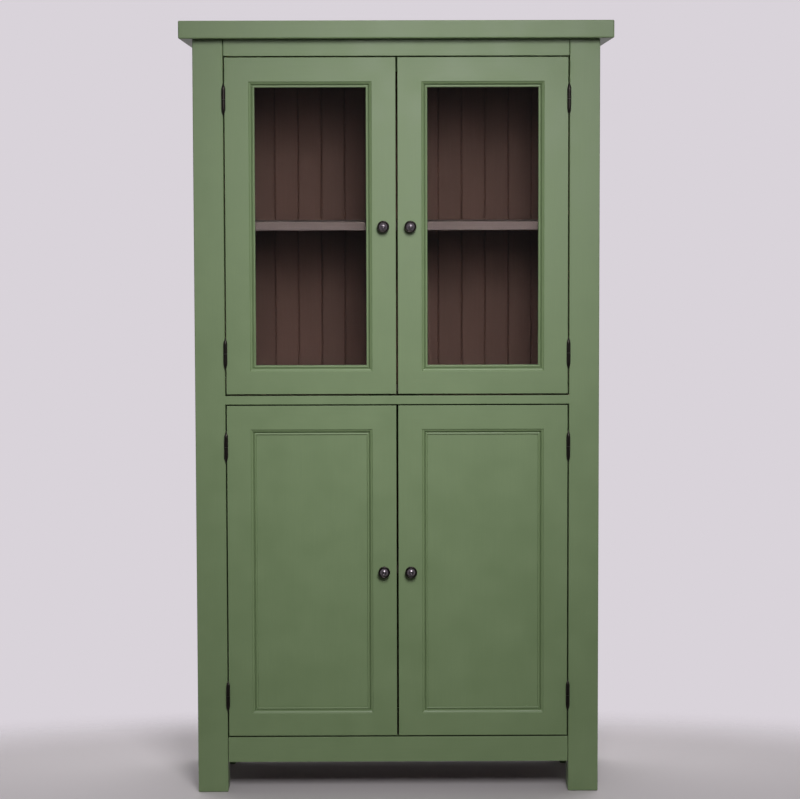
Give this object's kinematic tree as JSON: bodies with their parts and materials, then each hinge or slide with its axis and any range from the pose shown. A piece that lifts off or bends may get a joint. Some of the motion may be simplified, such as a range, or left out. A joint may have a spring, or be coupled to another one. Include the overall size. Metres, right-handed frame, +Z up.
{
  "type": "display cabinet",
  "caption": "Tall painted wooden cabinet with glazed doors above and panelled doors below, shelves inside, on short square legs, for storing and showing crockery.",
  "frame": {"origin": "on the floor, in the middle of the overall box", "axes": "+Z up, the doors face -Y, +X to the right when facing the doors"},
  "size_m": [1, 0.4, 1.8],
  "materials": {
    "green_paint": "satin",
    "brown_stain": "satin",
    "dark_iron": "satin",
    "steel": "brushed",
    "catch_plastic": "matte",
    "clear_glass": "gloss"
  },
  "bodies": {
    "cabinet": {"back_boards": "brown_stain", "deck_bearers": "brown_stain", "deck_bottom": "brown_stain", "deck_middle": "brown_stain", "hinge_pins": "steel", "hinge_post_leaves": "dark_iron", "magnet_catches": "catch_plastic", "post_front_left": "green_paint", "post_front_right": "green_paint", "post_rear_left": "green_paint", "post_rear_right": "green_paint", "rail_front_bottom": "green_paint", "rail_front_middle": "green_paint", "rail_front_top": "green_paint", "rail_rear_bottom": "green_paint", "rail_rear_top": "green_paint", "shelf_cleats": "brown_stain", "shelf_lower": "brown_stain", "shelf_upper": "brown_stain", "side_panel_left": "green_paint", "side_panel_right": "green_paint", "side_rail_bottom_left": "green_paint", "side_rail_bottom_right": "green_paint", "side_rail_top_left": "green_paint", "side_rail_top_right": "green_paint", "top_board": "green_paint"},
    "door_upper_left": {"door_upper_left_bottom_rail": "green_paint", "door_upper_left_glass": "clear_glass", "door_upper_left_glazing_beads": "green_paint", "door_upper_left_hinge_leaves": "dark_iron", "door_upper_left_hinge_stile": "green_paint", "door_upper_left_knob": "dark_iron", "door_upper_left_lock_stile": "green_paint", "door_upper_left_strike_plate": "steel", "door_upper_left_top_rail": "green_paint"},
    "door_upper_right": {"door_upper_right_bottom_rail": "green_paint", "door_upper_right_glass": "clear_glass", "door_upper_right_glazing_beads": "green_paint", "door_upper_right_hinge_leaves": "dark_iron", "door_upper_right_hinge_stile": "green_paint", "door_upper_right_knob": "dark_iron", "door_upper_right_lock_stile": "green_paint", "door_upper_right_strike_plate": "steel", "door_upper_right_top_rail": "green_paint"},
    "door_lower_left": {"door_lower_left_bottom_rail": "green_paint", "door_lower_left_hinge_leaves": "dark_iron", "door_lower_left_hinge_stile": "green_paint", "door_lower_left_knob": "dark_iron", "door_lower_left_lock_stile": "green_paint", "door_lower_left_panel": "green_paint", "door_lower_left_strike_plate": "steel", "door_lower_left_top_rail": "green_paint"},
    "door_lower_right": {"door_lower_right_bottom_rail": "green_paint", "door_lower_right_hinge_leaves": "dark_iron", "door_lower_right_hinge_stile": "green_paint", "door_lower_right_knob": "dark_iron", "door_lower_right_lock_stile": "green_paint", "door_lower_right_panel": "green_paint", "door_lower_right_strike_plate": "steel", "door_lower_right_top_rail": "green_paint"}
  },
  "joints": [
    {"name": "door_upper_left_hinge", "type": "hinge", "parent": "cabinet", "child": "door_upper_left", "pos_m": [-0.3985, -0.1753, 1.3277], "axis": [0, 0, -1], "range_deg": [0, 170]},
    {"name": "door_upper_right_hinge", "type": "hinge", "parent": "cabinet", "child": "door_upper_right", "pos_m": [0.3985, -0.1753, 1.3277], "axis": [0, 0, 1], "range_deg": [0, 170]},
    {"name": "door_lower_left_hinge", "type": "hinge", "parent": "cabinet", "child": "door_lower_left", "pos_m": [-0.3985, -0.1753, 0.5225], "axis": [0, 0, -1], "range_deg": [0, 170]},
    {"name": "door_lower_right_hinge", "type": "hinge", "parent": "cabinet", "child": "door_lower_right", "pos_m": [0.3985, -0.1753, 0.5225], "axis": [0, 0, 1], "range_deg": [0, 170]}
  ]
}
